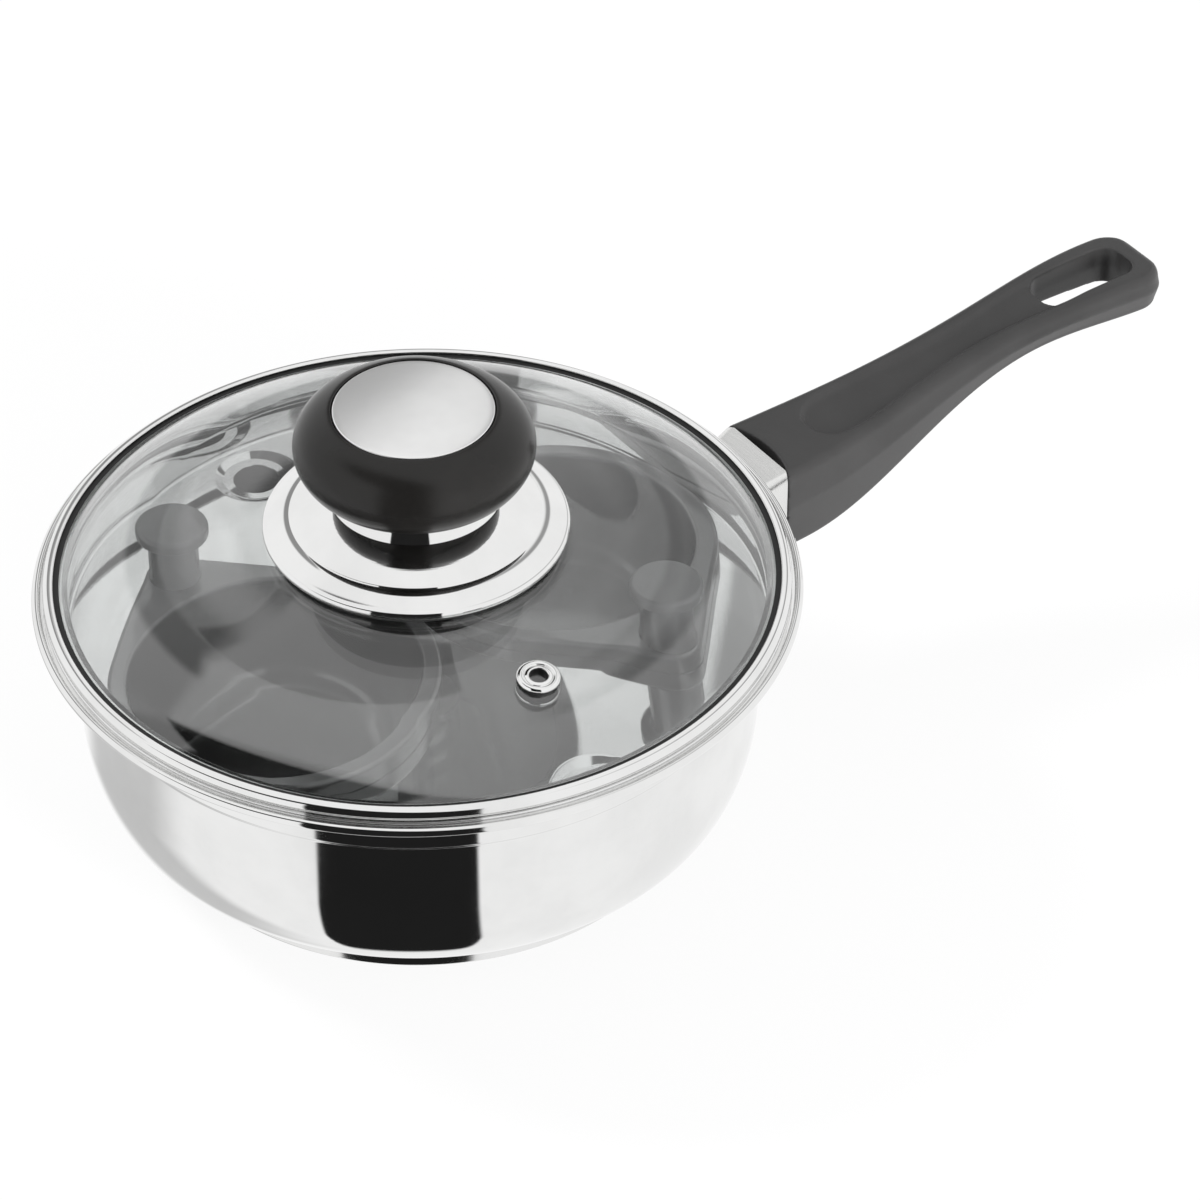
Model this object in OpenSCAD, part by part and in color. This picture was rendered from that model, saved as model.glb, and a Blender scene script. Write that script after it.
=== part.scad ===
// Two-cup egg poacher: a small steel pan with a lift-out tray, two egg cups and a glass lid.
// Millimetres. The origin is the centre of the pan's base, +Z is up and +X runs along the handle.

/* [Pan] */
// Outside diameter of the wall
pan_d = 160; // [152:1:190]
// Height of the flat land inside the rim, where the tray hangs
land_z = 63.1; // [60:0.1:72]
// Thickness of the pan's steel
pan_t = 0.8; // [0.6:0.1:1]
// Height of the curved belly above the bottom
belly_h = 25; // [20:1:26]
// Radius of the long curve of the belly
belly_r = 38; // [34:1:42]
// Radius of the corner between the belly and the bottom
corner_r = 16; // [12:1:18]
// How far the wall steps out above its shoulder
step_w = 0.7; // [0.5:0.1:1]
// Drop from the land to the top of the shoulder
step_drop = 12.5; // [12.5:0.1:14]
// Radius of the flare that carries the wall out to the land
flare_r = 6.5; // [5.5:0.1:7.5]
// Width of the land
land_w = 2.5; // [2:0.1:4]
// Radius of the rolled edge of the rim
roll_r = 1.1; // [0.9:0.1:1.4]
// How far the rolled edge stands above the land
roll_rise = 0.5; // [0.4:0.1:1.2]

/* [Base] */
// Height of the sandwich base
base_h = 6; // [4:0.5:7]
// How far the base cap reaches past the pan's flat bottom
cap_over = 4; // [0:0.5:4]
// How far the cap narrows towards the stove
cap_draft = 1; // [0:0.1:2]
// Radius of the cap's lower corner
cap_corner = 1.5; // [1:0.1:2]
// Thickness of the base cap's steel
cap_t = 0.6; // [0.4:0.1:1]
// Gap between the aluminium core and the cap's wall
core_gap = 0.3; // [0.1:0.1:0.6]

/* [Tray] */
// Thickness of the tray's steel
tray_t = 0.6; // [0.5:0.1:0.8]
// Depth of the tray below its flange
tray_depth = 13.2; // [12:0.1:14]
// Gap between the tray's wall and the pan's wall
tray_gap = 0.4; // [0.3:0.1:1]
// Outside radius of the corner round the tray's floor
tray_corner = 1.6; // [1:0.1:2]
// Gap between the tray's flange and the rolled edge
flange_gap = 0.6; // [0.4:0.1:1]
// Angle between the line of the cups and the handle
insert_turn = 2; // [-10:1:10]
// Diameter of each steam hole
steam_hole_d = 11; // [8:0.5:12]
// Diameter of the dish pressed round each steam hole
dish_d = 20.6; // [18:0.2:24]
// Width of the dish's sloping side
dish_side = 2.7; // [2:0.1:3]
// Depth of the dish
dish_h = 1; // [0.5:0.1:1.5]
// Gap between the dish and the corner round the tray's floor
dish_space = 0.2; // [0.2:0.1:3]

/* [Cups] */
// Gap between a cup's flange and the tray's wall, and half the gap between the cups
cup_space = 2; // [1.6:0.1:4]
// Width of the flange round a cup's mouth
flange_w = 4.2; // [3.6:0.1:4.6]
// Height of the flange's turned-down edge
flange_h = 4; // [3.6:0.1:5]
// Depth of a cup
cup_depth = 24.5; // [20:0.5:28]
// Lean of a cup's wall from the vertical
cup_taper = 16.5; // [12:0.5:20]
// Radius of the corner between a cup's wall and floor
cup_corner = 6; // [4:0.5:8]
// Thickness of a cup's metal
cup_t = 1.2; // [1:0.1:1.5]
// Clearance between a cup and its hole in the tray
cup_gap = 0.7; // [0.4:0.1:1]

/* [Pegs] */
// Distance from the round edge of a cup's flange to its peg's centre
peg_out = 5.6; // [4:0.1:8]
// Diameter of the peg's shaft
peg_d = 11.8; // [10:0.2:13]
// Diameter of the peg's cap
peg_cap_d = 17; // [15:0.5:19]
// Thickness of the peg's cap
peg_cap_h = 3; // [2:0.5:4]
// Radius of the cap's upper edge
peg_edge = 1; // [0.5:0.1:1.5]
// Gap between a peg and the glass above it
peg_gap = 0.9; // [0.5:0.1:3]
// Width of metal round the peg's shaft
peg_margin = 1; // [0.5:0.1:2]
// Diameter of the screw that holds a peg
peg_screw_d = 3; // [2.5:0.5:3.5]

/* [Lid] */
// Height of the glass above the tray's flange
lid_h = 16.3; // [16:0.1:22]
// Thickness of the glass
glass_t = 4; // [3.5:0.1:4.5]
// Radius of the dome's crown
crown_r = 400; // [350:10:600]
// Radius of the curve near the glass's edge
shoulder_r = 40; // [36:1:44]
// Distance from the band's outside to the start of that curve
shoulder_w = 23.3; // [22:0.1:25]
// Thickness of the rim band's steel
band_t = 0.6; // [0.4:0.1:0.8]
// Outside height of the rim band
band_h = 3; // [2.8:0.1:4]
// Width of the band's upper leg
band_w = 2.5; // [2:0.1:3]
// Radius of the band's outer corners
band_edge = 1; // [0.8:0.1:1.2]
// Clearance round the glass inside the band
band_gap = 0.1; // [0.05:0.05:0.2]
// How far the band reaches past the tray's flange
band_over = 0.1; // [0:0.1:0.2]
// Width of the band's lower leg, which rests on the tray's flange
band_foot = 6.9; // [6:0.1:7.2]

/* [Steam vent] */
// Distance from the crown's edge to the vent's centre
vent_inset = 5; // [5:0.5:16]
// Angle of the vent round the lid
vent_angle = -96; // [-180:1:180]
// Diameter of the vent's hole
vent_bore = 4.2; // [3:0.1:4.6]
// Diameter of the eyelet's flanges
vent_d = 10; // [9.5:0.5:10]
// Thickness of the eyelet's tube
vent_t = 0.8; // [0.5:0.1:1]
// Thickness of the eyelet's flanges
lip_t = 0.9; // [0.6:0.1:1.2]
// Thickness of the rubber sleeve
sleeve_t = 0.9; // [0.6:0.1:1]
// Thickness of the sleeve's flanges
sleeve_lip = 0.5; // [0.4:0.1:0.8]

/* [Knob] */
// Diameter of the steel skirt
skirt_d = 71.4; // [66:0.2:76]
// Thickness of the skirt's steel
skirt_t = 0.8; // [0.6:0.1:1]
// Height of the skirt above its seal
skirt_h = 11.9; // [11:0.1:14]
// Radius of the skirt's rolled edge
skirt_roll = 1.1; // [0.9:0.1:1.4]
// Width of the skirt's foot, from its outside to the crease
foot_w = 6.2; // [5:0.1:7]
// Height of the crease above the seal
foot_h = 3.9; // [3:0.1:4.4]
// Diameter of the skirt's flat top and of the neck below it
neck_d = 37; // [32:0.5:40]
// Height of the upright neck
neck_h = 2.4; // [1.5:0.1:3.4]
// Radius of the bell's curve between the neck and the crease
bell_r = 45; // [30:1:60]
// Width of the seal under the skirt's edge
seal_w = 4.5; // [3:0.1:5]
// Height of the skirt's seal above the glass
seal_h = 0.7; // [0.5:0.1:1]
// Greatest diameter of the knob
knob_d = 56; // [50:1:60]
// Height of the knob from the skirt to its rim
knob_h = 21.8; // [20:0.1:25]
// Height of the knob's widest place above the skirt
knob_wide_h = 11.8; // [10:0.1:13]
// Diameter of the knob's foot
knob_foot_d = 24; // [20:1:28]
// Width of the knob's rim round the disc
knob_rim = 0.5; // [0.4:0.1:1.5]
// Diameter of the polished disc in the knob's top
disc_d = 37.4; // [34:0.2:40]
// Gap round the disc
disc_gap = 0.3; // [0.1:0.1:0.6]
// Thickness of the disc at its edge
disc_t = 1.6; // [1:0.1:3]
// Rise of the disc from its edge to its middle
disc_rise = 1.2; // [0.5:0.1:2]
// Thread diameter of the knob's screw
knob_screw_d = 5; // [4:0.5:6]
// Length of the threaded insert
insert_h = 13; // [10:0.5:15]
// Wall of the threaded insert
insert_wall = 1.6; // [1:0.1:2]
// Radius of the steel washer under the glass
washer_r = 9; // [7:0.5:12]
// Thickness of the washers and of the rubber between washer and glass
washer_t = 1; // [0.8:0.1:1.2]

/* [Handle] */
// Distance from the pan's rim to the middle of the handle's front
handle_gap = 11.3; // [10:0.1:16]
// Length of the handle
handle_len = 116; // [105:1:140]
// Drop from the land to the top of the handle's front
handle_drop = 4.6; // [3:0.1:6]
// Climb of the top edge from front to end
handle_rise = 11.5; // [5:0.5:16]
// Width of the front
front_w = 27; // [25:0.5:30]
// Height of the front
front_h = 23.5; // [22:0.5:25]
// Width of the waist, where the hand's heel lies
waist_w = 19; // [17:0.5:22]
// Height of the thinnest stretch
thin_h = 9; // [8:0.5:12]
// Width of the end
end_w = 24; // [22:0.5:28]
// Height of the end
end_h = 10.5; // [9:0.5:13]
// Radius of the end's corners
end_r = 9.5; // [7:0.5:11]
// Radius of the hollow cut in the front, round the flame guard
front_arc = 28; // [24:1:40]
// Length of the hang hole
hang_len = 28; // [22:1:32]
// Width of the hang hole
hang_w = 12.4; // [10:0.2:14]
// Radius of the hang hole's corners
hang_r = 4.5; // [3:0.5:5]
// Distance from the hang hole to the end
hang_wall = 5.3; // [4:0.1:8]
// Depth of the thumb hollow in the top
hollow_h = 0.8; // [0.5:0.1:1.5]
// Distance from the front to the thumb hollow
hollow_in = 12.3; // [8:0.1:20]
// Width of the top beside the round front of the hollow
hollow_side = 6; // [5:0.1:8]

/* [Handle fixing] */
// Width of the bracket's tongue
tongue_w = 14; // [12:0.5:16]
// Thickness of the bracket's tongue
tongue_t = 3; // [2:0.5:4]
// Distance that the tongue reaches into the handle
tongue_in = 20; // [17:1:24]
// Thickness of the bracket's weld plate
plate_t = 1.3; // [1:0.1:2]
// Width of the weld plate
plate_w = 19; // [16:1:20]
// Thread diameter of the handle's screw
handle_screw_d = 5; // [4:0.5:6]
// Distance from the handle's front to its screw
screw_in = 12; // [10:0.5:13]
// Distance from the tongue's middle to the screw's seat
seat_drop = 5; // [4:0.5:6]
// Thickness of the flame guard's steel
guard_t = 0.8; // [0.6:0.1:1.2]
// Inset of the flame guard from the handle's outline
guard_inset = 0.5; // [0.3:0.1:1]
// How far each side of the guard draws in towards the wall
guard_draft = 1.5; // [0:0.1:2]

/* [Hidden] */
$fn = 96;

steel = "gainsboro";
satin = "silver";
phenolic = [0.27, 0.27, 0.28];
coating = [0.38, 0.38, 0.4];
rubber = [0.12, 0.12, 0.12];

// Clearances: a close fit, a screw's way through a piece, and steel pressed up to its neighbour
fit = 0.05;
screw_room = 0.3;
touch = 0.1;
// How far a cutter runs past the face that it cuts
eps = 0.05;
// Screw heads: radius and height as parts of the thread's diameter, and the thread's free end
head_w = 0.9;
head_h = 0.6;
screw_spare = 1;

// Pan: radii and heights of the wall
pan_r = pan_d / 2;
upper_r = pan_r + step_w;
step_z = land_z - step_drop;
step_low = step_z - 2 * step_w;
belly_z = base_h + belly_h;
corner_x = pan_r - belly_r + sqrt(pow(belly_r - corner_r, 2) - pow(belly_h - corner_r, 2));
corner_a = atan2(corner_r - belly_h, corner_x - pan_r + belly_r);
flare_x = upper_r - pan_t + flare_r;
roll_x = flare_x + land_w;
roll_z = land_z + roll_rise - roll_r;

// Base: the cap's wall leans in towards the stove
cap_top = corner_x + cap_over;
cap_low = cap_top - cap_draft;

// Tray: hangs by its flange on the land, and its flare has the pan's radius
seat_z = land_z + tray_t;
floor_z = seat_z - tray_depth;
tray_r = upper_r - pan_t - tray_gap;
tray_inner = tray_r - tray_t;
flange_r = roll_x - roll_r - flange_gap;
dish_r = dish_d / 2;
steam_y = tray_r - tray_corner - dish_space - dish_r;

// Cups: each fills its half of the tray, and its flange's edge stands on the tray's floor
cup_x = tray_inner / 2;
rim_r = cup_x - cup_space;
mouth_r = rim_r - flange_w;
flange_z = floor_z + flange_h;
cup_z = flange_z - cup_depth;
bowl_x = mouth_r - (cup_depth - cup_corner) * tan(cup_taper) - cup_corner / cos(cup_taper);
cup_hole_r = mouth_r - flange_h * tan(cup_taper) + cup_t / cos(cup_taper) + cup_gap;

// Lid: the crown is one sphere, and a tighter curve carries it down to the band
band_r = flange_r + band_over;
glass_z = seat_z + lid_h;
under_z = glass_z - glass_t;
crown_z = glass_z - crown_r;
crown_edge = band_r - shoulder_w;
crown_a = asin(crown_edge / crown_r);
bend_x = (crown_r - shoulder_r) * sin(crown_a);
bend_z = crown_z + (crown_r - shoulder_r) * cos(crown_a);
brim_low = seat_z + band_t;
brim_top = seat_z + band_h - band_t - band_gap;
brim_r = band_r - band_t - band_gap;
outer_a = acos((brim_top - bend_z) / shoulder_r);
inner_a = acos((brim_low - bend_z) / (shoulder_r - glass_t));

// Pegs: as tall as the glass over the outer edge of their caps allows
peg_y = rim_r + peg_out;
peg_r = peg_d / 2;
peg_cap_r = peg_cap_d / 2;
arm_r = peg_r + peg_margin;
peg_far = sqrt(pow(cup_x, 2) + pow(peg_y, 2)) + peg_cap_r;
peg_h = under_at(peg_far) - peg_gap - flange_z;
peg_bore = peg_h - peg_cap_h;

// Steam vent: square to the glass
vent_reach = crown_edge - vent_inset;
vent_a = asin(vent_reach / crown_r);
tube_r = vent_bore / 2 + vent_t;

// Knob: skirt, body and disc share the lid's axis
skirt_r = skirt_d / 2;
roll_mid = skirt_r - skirt_roll;
seal_r = roll_mid + skirt_roll / 3;
skirt_z = glass_at(seal_r) + seal_h;
knob_z = skirt_z + skirt_h;
crease_r = skirt_r - foot_w;
crease_z = skirt_z + foot_h;
neck_r = neck_d / 2;
neck_z = knob_z - neck_h;
bell_slope = atan2(neck_z - crease_z, crease_r - neck_r);
bell_turn = asin(norm([crease_r - neck_r, neck_z - crease_z]) / 2 / bell_r);
bell_low = 90 - bell_slope - bell_turn;
bell_x = crease_r - bell_r * cos(bell_low);
bell_z = crease_z - bell_r * sin(bell_low);
knob_foot = knob_foot_d / 2;
knob_bulge = knob_d / 2 - knob_foot;
disc_r = disc_d / 2;
disc_z = knob_z + knob_h;
rim_part = (disc_r + disc_gap + knob_rim - knob_foot) / knob_bulge;
knob_half_h = (knob_h - knob_wide_h) / sqrt(1 - rim_part * rim_part);
insert_r = knob_screw_d / 2 + insert_wall;
clamp_z = under_z - washer_t;

// Handle: the front arc cuts an outline that starts before it and runs to the end
handle_x = roll_x + roll_r + handle_gap;
handle_z = land_z - handle_drop;
handle_base = handle_z - front_h;
handle_end = handle_x + handle_len;
arc_x = handle_x - front_arc;
front_over = 5;
hang_end = handle_end - hang_wall;
hang_start = hang_end - hang_len;

// Handle fixing: the tongue lies in the middle of the front's height
tongue_z = handle_base + front_h / 2;
tongue_end = handle_x + tongue_in;
screw_x = handle_x + screw_in;
screw_seat = tongue_z - seat_drop;
guard_x = pan_r - 5;
guard_low = handle_base + guard_inset;
guard_top = step_z + 1;
plate_low = guard_low + guard_t + guard_draft + screw_room;
plate_top = step_low - 1;

// Height of the glass's outer face on the crown, at a distance from the lid's axis
function glass_at(r) = crown_z + sqrt(pow(crown_r, 2) - pow(r, 2));

// Height of the glass's inner face at a distance from the lid's axis
function under_at(r) = r < crown_edge
    ? crown_z + sqrt(pow(crown_r - glass_t, 2) - pow(r, 2))
    : bend_z + sqrt(pow(shoulder_r - glass_t, 2) - pow(r - bend_x, 2));

// Points on an arc, from the first angle to the last
function arc(x, z, r, from, to, n = 10) =
    [for (i = [0:n]) let (a = from + (to - from) * i / n) [x + r * cos(a), z + r * sin(a)]];
function reversed(list) = [for (i = [len(list) - 1:-1:0]) list[i]];

// A smooth step from 0 to 1 while t runs from a to b
function ease(t, a, b) = (1 - cos(180 * min(1, max(0, (t - a) / (b - a))))) / 2;

// A flat ring with its lower face at z = 0
module ring(outer, inner, h)
    linear_extrude(h) difference() {
        circle(outer);
        circle(inner);
    }

// A screw with its head under z = 0, its thread above and a cross cut in the head
module screw(d, length)
    color(satin) difference() {
        union() {
            translate([0, 0, -head_h * d]) cylinder(r = head_w * d, h = head_h * d);
            translate([0, 0, -eps]) cylinder(r = d / 2, h = length + eps);
        }
        for (turn = [0, 90]) rotate(turn)
            translate([0, 0, -head_h * d]) cube([d, d / 4, head_h * d], center = true);
    }

// One face of the pan's sheet: inset 0 is the outside and inset pan_t the inside
function pan_side(inset) = concat(
    [[0, base_h + inset]],
    arc(corner_x, base_h + corner_r, corner_r - inset, -90, corner_a, 6),
    arc(pan_r - belly_r, belly_z, belly_r - inset, corner_a, 0, 8),
    [[pan_r - inset, step_low - inset / 2], [upper_r - inset, step_z - inset / 2]],
    arc(flare_x, land_z - flare_r, flare_r - pan_t + inset, 180, 90, 8),
    [[roll_x, land_z - pan_t + inset]]);

module pan_body()
    color(steel) rotate_extrude() {
        polygon(concat(pan_side(0), reversed(pan_side(pan_t))));
        translate([roll_x, roll_z]) circle(roll_r);
    }

// The outline of the cap's outside, inset by a thickness
function cap_side(inset) = concat(
    [[0, inset]],
    arc(cap_low - cap_corner, cap_corner, cap_corner - inset, -90, 0, 5),
    [[cap_top - inset, base_h]]);

module base_cap()
    color(satin) rotate_extrude() polygon(concat(cap_side(0), reversed(cap_side(cap_t))));

module base_core_disc()
    color("darkgray") translate([0, 0, cap_t])
        cylinder(r = cap_low - cap_corner - core_gap, h = base_h - cap_t);

// A curved plate on the wall, with a tongue that reaches into the handle
module handle_bracket()
    color(satin) difference() {
        union() {
            intersection() {
                cylinder(r = pan_r + fit + plate_t, h = plate_top);
                translate([0, -plate_w / 2, plate_low]) cube([2 * pan_r, plate_w, front_h]);
            }
            translate([pan_r, -tongue_w / 2, tongue_z - tongue_t / 2])
                cube([tongue_end - pan_r, tongue_w, tongue_t]);
        }
        cylinder(r = pan_r + fit, h = land_z);
        translate([screw_x, 0, 0]) cylinder(r = handle_screw_d / 2 + fit, h = land_z);
    }

// Plan of the guard: it widens from the wall to the handle and ends in the handle's arc
module guard_plan(inset) {
    half = front_w / 2 - guard_inset - inset;
    intersection() {
        polygon([[guard_x, guard_draft - half], [guard_x, half - guard_draft],
                 [handle_x, half], [handle_x, -half]]);
        translate([arc_x, 0]) circle(front_arc - touch + inset);
    }
}

// Side of the guard: its top climbs from under the rim to the handle
module guard_side(inset)
    polygon([[guard_x, guard_low + guard_draft + inset], [handle_x, guard_low + inset],
             [handle_x, handle_z - guard_inset - inset], [guard_x, guard_top - inset]]);

module guard_block(inset)
    intersection() {
        linear_extrude(2 * land_z) guard_plan(inset);
        rotate([90, 0, 0]) translate([0, 0, -front_w]) linear_extrude(2 * front_w) guard_side(inset);
    }

module flame_guard()
    color(satin) difference() {
        guard_block(0);
        guard_block(guard_t);
        cylinder(r = pan_r + touch, h = land_z);
        translate([0, 0, step_low]) cylinder(r = upper_r + touch, h = land_z);
    }

// Heights and widths along the handle, with t as the part of its length from the front
function top_at(t) = handle_z + handle_rise * (1 - cos(207 * t)) / 2;
function height_at(t) = thin_h + (front_h - thin_h) * (1 - ease(t, 0.08, 0.7))
                        + (end_h - thin_h) * ease(t, 0.7, 0.95);
function half_at(t) = (waist_w + (front_w - waist_w) * (1 - ease(t, 0, 0.53))
                       + (end_w - waist_w) * ease(t, 0.53, 0.93)) / 2;
function along(t) = handle_x - front_over + (handle_len + front_over) * t;
stations = [for (i = [0:24]) i / 24];

// Side outline of the handle, lowered by a depth
module handle_side(drop)
    polygon(concat([for (t = stations) [along(t), top_at(t) - drop]],
                   reversed([for (t = stations) [along(t), top_at(t) - height_at(t)]])));

module side_block(drop)
    rotate([90, 0, 0]) translate([0, 0, -front_w]) linear_extrude(2 * front_w) handle_side(drop);

// Plan outline of the handle, with an arc round each corner of its end
module handle_plan() {
    sides = [for (t = stations) if (along(t) < handle_end - end_r) [along(t), half_at(t)]];
    corner = arc(handle_end - end_r, end_w / 2 - end_r, end_r, 90, 0, 8);
    half = concat(sides, corner);
    polygon(concat(half, reversed([for (p = half) [p[0], -p[1]]])));
}

// Plan of the hang hole: straight sides between four round corners
module hang_plan()
    translate([hang_start, 0]) {
        translate([hang_r, -hang_w / 2]) square([hang_len - 2 * hang_r, hang_w]);
        translate([0, hang_r - hang_w / 2]) square([hang_len, hang_w - 2 * hang_r]);
        for (x = [hang_r, hang_len - hang_r], y = [hang_r, hang_w - hang_r])
            translate([x, y - hang_w / 2]) circle(hang_r);
    }

// Plan of the thumb hollow: round in front, slim at the waist, and open into the hang hole
module hollow_plan() {
    bow = front_w / 2 - hollow_side;
    bow_x = handle_x + hollow_in + bow;
    slim = hang_w / 3;
    slim_x = hang_start - 1.8 * hang_w;
    open = hang_w / 2;
    open_x = hang_start + hang_r;
    translate([bow_x, 0]) circle(bow);
    polygon([[bow_x, bow], [slim_x, slim], [open_x, open], [open_x, -open], [slim_x, -slim], [bow_x, -bow]]);
}

module handle()
    color(phenolic) difference() {
        intersection() {
            linear_extrude(2 * land_z) handle_plan();
            side_block(0);
        }
        // The hollow front, the hang hole and the thumb hollow
        translate([arc_x, 0, 0]) cylinder(r = front_arc, h = 2 * land_z);
        linear_extrude(2 * land_z) hang_plan();
        difference() {
            translate([0, 0, tongue_z]) linear_extrude(2 * land_z) hollow_plan();
            side_block(hollow_h);
        }
        // The socket for the bracket's tongue, and the screw's way in from below
        translate([arc_x, -tongue_w / 2 - touch, tongue_z - tongue_t / 2 - touch])
            cube([tongue_end - arc_x + 1, tongue_w + 2 * touch, tongue_t + 2 * touch]);
        translate([screw_x, 0, 0]) {
            cylinder(r = head_w * handle_screw_d + 2 * screw_room, h = screw_seat);
            cylinder(r = handle_screw_d / 2 + screw_room, h = tongue_z + seat_drop);
        }
    }

module handle_screw_washer()
    color(satin) translate([screw_x, 0, screw_seat - washer_t])
        ring(head_w * handle_screw_d + screw_room, handle_screw_d / 2 + screw_room, washer_t);

module handle_screw()
    translate([screw_x, 0, screw_seat - washer_t])
        screw(handle_screw_d, washer_t + 2 * seat_drop - screw_spare);

// One face of the tray's sheet: inset 0 is the underside and inset tray_t the upper face
function tray_side(inset) = concat(
    [[0, floor_z - tray_t + inset]],
    arc(tray_r - tray_corner, floor_z - tray_t + tray_corner, tray_corner - inset, -90, 0, 4),
    arc(tray_r + flare_r, land_z - flare_r, flare_r + inset, 180, 90, 8),
    [[flange_r, land_z + inset]]);

// A cone at each steam hole, as wide as the dish at height z and a little taller
module dishes(z)
    for (side = [-1, 1]) translate([0, side * steam_y, z - dish_h])
        cylinder(r1 = dish_r - dish_side, r2 = dish_r + eps * dish_side / dish_h, h = dish_h + eps);

module egg_tray()
    color(steel) rotate(insert_turn) difference() {
        union() {
            rotate_extrude() polygon(concat(tray_side(0), reversed(tray_side(tray_t))));
            dishes(floor_z - tray_t);
        }
        dishes(floor_z);
        for (side = [-1, 1]) {
            translate([side * cup_x, 0, 0]) cylinder(r = cup_hole_r, h = land_z);
            translate([0, side * steam_y, 0]) cylinder(r = steam_hole_d / 2, h = land_z);
        }
    }

// Two round ends joined by their common tangents, the larger at the origin
module teardrop(r1, r2) {
    a = acos((r1 - r2) / peg_y);
    circle(r1);
    translate([0, -peg_y]) circle(r2);
    polygon([[r1 * sin(a), -r1 * cos(a)], [r2 * sin(a), -peg_y - r2 * cos(a)],
             [-r2 * sin(a), -peg_y - r2 * cos(a)], [-r1 * sin(a), -r1 * cos(a)]]);
}

// The bowl of a cup: grow 0 is the inside and grow cup_t the outside
function bowl_side(grow) = concat(
    [[0, cup_z - grow]],
    arc(bowl_x, cup_z + cup_corner, cup_corner + grow, -90, -cup_taper, 6),
    [[mouth_r + grow / cos(cup_taper), flange_z], [0, flange_z]]);

// Places a cup and its peg: the second cup is the first one turned half round
module at_cup(n)
    rotate(insert_turn + 180 * (n - 1)) translate([cup_x, 0, 0]) children();

module cup(n)
    color(coating) at_cup(n) difference() {
        union() {
            rotate_extrude() polygon(bowl_side(cup_t));
            translate([0, 0, floor_z]) linear_extrude(flange_h) teardrop(rim_r, arm_r);
        }
        difference() {
            translate([0, 0, floor_z - eps]) linear_extrude(flange_h - cup_t + eps)
                teardrop(rim_r - cup_t, arm_r - cup_t);
            rotate_extrude() polygon(bowl_side(cup_t));
        }
        rotate_extrude() polygon(bowl_side(0));
        translate([0, 0, flange_z - eps]) cylinder(r = mouth_r, h = cup_t);
        translate([0, -peg_y, 0]) cylinder(r = peg_screw_d / 2 + screw_room, h = land_z);
    }

module cup_1() cup(1);
module cup_2() cup(2);

// A peg: a slim shaft under a flat cap with a round edge, bored for its screw
module peg(n)
    color(phenolic) at_cup(n) translate([0, -peg_y, flange_z]) difference() {
        rotate_extrude() polygon(concat(
            [[0, 0], [peg_r, 0], [peg_r, peg_bore], [peg_cap_r, peg_bore]],
            arc(peg_cap_r - peg_edge, peg_h - peg_edge, peg_edge, 0, 90, 4),
            [[0, peg_h]]));
        translate([0, 0, -eps]) cylinder(r = peg_screw_d / 2 + fit, h = peg_bore + eps);
    }

module cup_1_peg() peg(1);
module cup_2_peg() peg(2);

module peg_screw(n)
    at_cup(n) translate([0, -peg_y, flange_z - cup_t])
        screw(peg_screw_d, cup_t + peg_bore - screw_spare);

module cup_1_peg_screw() peg_screw(1);
module cup_2_peg_screw() peg_screw(2);

module lid_glass()
    color([0.85, 0.9, 0.92, 0.4]) difference() {
        rotate_extrude() polygon(concat(
            arc(0, crown_z, crown_r, 90, 90 - crown_a, 8),
            arc(bend_x, bend_z, shoulder_r, 90 - crown_a, 90 - outer_a, 8),
            [[brim_r, brim_top], [brim_r, brim_low]],
            arc(bend_x, bend_z, shoulder_r - glass_t, 90 - inner_a, 90 - crown_a, 8),
            arc(0, crown_z, crown_r - glass_t, 90 - crown_a, 90, 8)));
        cylinder(r = knob_screw_d / 2 + screw_room, h = 2 * glass_z);
        at_vent() translate([0, 0, -2 * glass_t]) cylinder(r = tube_r + sleeve_t + fit, h = 4 * glass_t);
    }

// The band folds round the glass, and its lower leg lies flat on the tray's flange
module lid_rim_band()
    color(steel) rotate_extrude() polygon(concat(
        [[band_r - band_foot, brim_low], [band_r - band_foot, seat_z]],
        arc(band_r - band_edge, seat_z + band_edge, band_edge, -90, 0, 4),
        arc(band_r - band_edge, seat_z + band_h - band_edge, band_edge, 0, 90, 4),
        [[band_r - band_w, seat_z + band_h], [band_r - band_w, seat_z + band_h - band_t],
         [band_r - band_t, seat_z + band_h - band_t], [band_r - band_t, brim_low]]));

// Puts the vent's parts on the glass, with z = 0 on its outer face
module at_vent()
    rotate(vent_angle) translate([0, 0, crown_z]) rotate([0, vent_a, 0]) translate([0, 0, crown_r])
        children();

// A tube with a flange beyond each of two heights
module flanged_tube(inner, outer, flange, low, high, t)
    rotate_extrude() translate([inner, 0]) {
        translate([0, low - t]) square([outer - inner, high - low + 2 * t]);
        translate([0, low - t]) square([flange - inner, t]);
        translate([0, high]) square([flange - inner, t]);
    }

module steam_vent_eyelet()
    color(steel) at_vent()
        flanged_tube(vent_bore / 2, tube_r, vent_d / 2, -glass_t - sleeve_lip - fit, sleeve_lip + fit, lip_t);

module steam_vent_gasket()
    color(rubber) at_vent()
        flanged_tube(tube_r + fit, tube_r + sleeve_t, vent_d / 2 - touch,
                     -glass_t - fit, fit, sleeve_lip - fit);

// The bell of the skirt: an arc from the crease up to a radius at the neck, on either side of the steel
function bell(inset, to_r) =
    arc(bell_x, bell_z, bell_r - inset, bell_low, acos((to_r - bell_x) / (bell_r - inset)), 8);

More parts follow.
